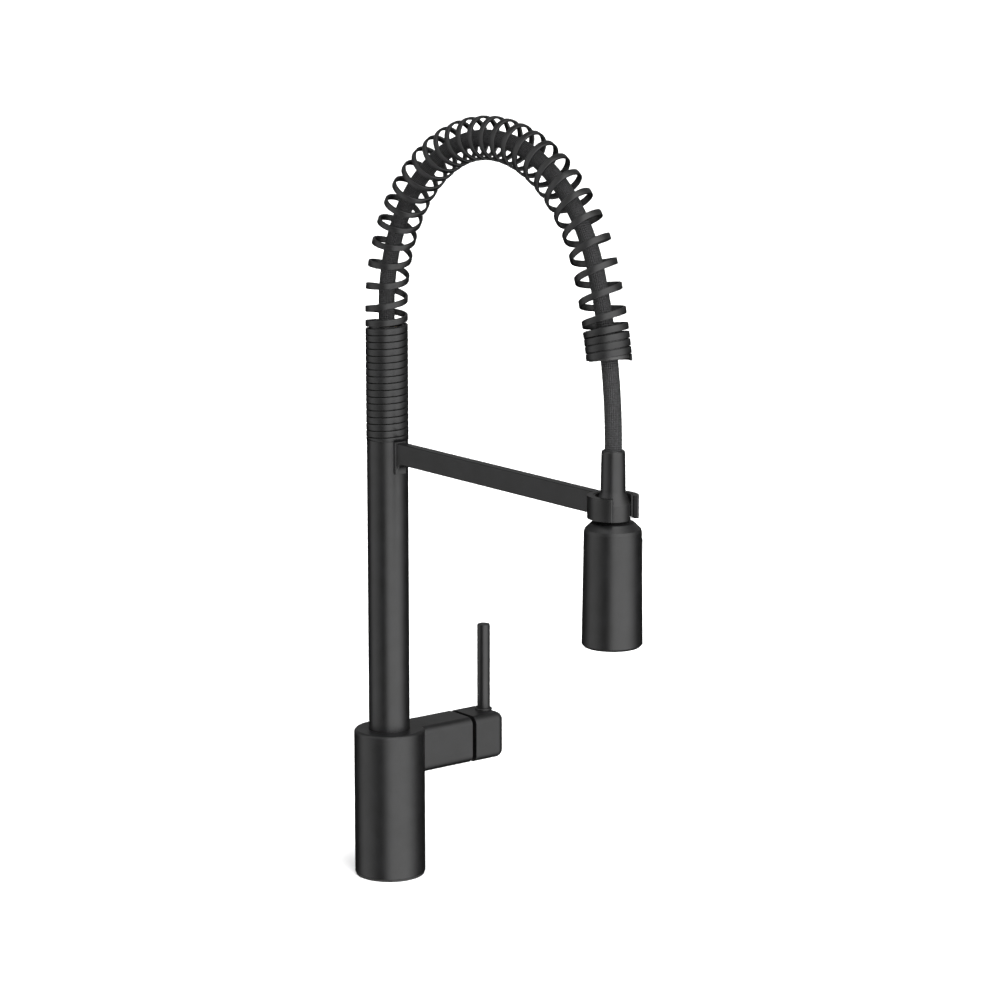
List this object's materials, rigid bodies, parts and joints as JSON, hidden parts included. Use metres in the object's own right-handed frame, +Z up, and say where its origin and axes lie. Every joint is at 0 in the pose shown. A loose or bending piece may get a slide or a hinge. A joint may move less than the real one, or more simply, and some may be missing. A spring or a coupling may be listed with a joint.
{
  "type": "pre rinse faucet",
  "caption": "Deck-mounted matte black pre-rinse faucet: spring-wrapped hose arching over a docking arm to a pull-down spray head, with a side mixing lever.",
  "frame": {"origin": "centre of the deck hole, on the deck's top surface and on the axis of base and riser", "axes": "+Z up along the riser, -Y towards the spray head, +X towards the mixing lever"},
  "size_m": [0.1236, 0.3059, 0.6331],
  "materials": {
    "matte_black": "matte powder coat",
    "spring_black": "matte coated spring steel",
    "brass": "machined",
    "steel": "turned",
    "rubber": "moulded",
    "black_plastic": "moulded, fine grained",
    "ceramic": "lapped",
    "hose_black": "woven nylon cover",
    "silicone": "moulded silicone"
  },
  "bodies": {
    "base": {"base_housing": "matte_black", "valve_body": "brass", "cartridge_socket": "brass", "cartridge_body": "black_plastic", "fixed_disc": "ceramic", "cartridge_nut": "brass", "bonnet": "matte_black", "thrust_washer": "black_plastic", "swivel_bush": "black_plastic", "swivel_o_rings": "rubber", "deck_gasket": "rubber", "mounting_shank": "brass", "base_plate": "black_plastic", "under_deck_gasket": "rubber", "clamp_washer": "steel", "mounting_nut": "matte_black", "clamp_screws": "steel"},
    "carrier": {"cartridge_carrier": "black_plastic", "moving_disc": "ceramic", "pivot_pin": "steel"},
    "handle": {"mixer_stem": "brass", "handle_hub": "matte_black", "lever_rod": "matte_black", "hub_set_screw": "steel", "hub_plug": "black_plastic"},
    "riser": {"riser_tube": "matte_black", "swivel_collar": "brass", "collar_screws": "steel", "docking_arm": "matte_black", "arm_screws": "steel", "holder_ring": "matte_black", "ring_screw": "steel", "holder_liner": "black_plastic", "riser_head": "matte_black", "riser_head_o_ring": "rubber", "hose_washer": "rubber", "hose_nut": "brass", "hose_arch": "hose_black", "spring_foot": "spring_black", "spring_arch": "spring_black"},
    "hose": {"hose_drop": "hose_black", "hose_ferrule": "steel", "hose_tail": "brass", "tail_o_ring": "rubber", "spring_end": "spring_black", "spring_end_bush": "black_plastic"},
    "head": {"neck": "matte_black", "head_shell": "matte_black", "head_core": "black_plastic", "check_valve": "black_plastic", "nozzle_mat": "silicone", "spray_face": "black_plastic", "aerator": "black_plastic", "aerator_screen": "steel", "core_seal": "rubber", "button_spring": "steel"},
    "button": {"spray_button": "black_plastic", "diverter_plunger": "black_plastic", "plunger_o_ring": "rubber"}
  },
  "joints": [
    {"name": "spout_swivel", "type": "hinge", "parent": "base", "child": "riser", "pos_m": [0, 0, 0.1], "axis": [0, 0, 1], "continuous": true},
    {"name": "mixer_temperature", "type": "hinge", "parent": "base", "child": "carrier", "pos_m": [0.052, 0, 0.0936], "axis": [1, 0, 0], "range_deg": [-30, 30]},
    {"name": "mixer_flow", "type": "hinge", "parent": "carrier", "child": "handle", "pos_m": [0.052, 0, 0.0936], "axis": [0, 1, 0], "range_deg": [0, 10]},
    {"name": "head_pull", "type": "slide", "parent": "riser", "child": "hose", "axis": [0, 0, -1], "range_m": [0, 0.05], "stiffness_N_per_m": 60, "springref_m": -0.1, "deforming": ["spring_arch", "hose_arch"]},
    {"name": "head_spin", "type": "hinge", "parent": "hose", "child": "head", "pos_m": [0, -0.2573, 0.33], "axis": [0, 0, 1], "continuous": true},
    {"name": "button_press", "type": "slide", "parent": "head", "child": "button", "axis": [-0.866, 0.5, 0], "range_m": [0, 0.0019], "stiffness_N_per_m": 1500, "springref_m": -0.001, "deforming": ["button_spring"]}
  ]
}
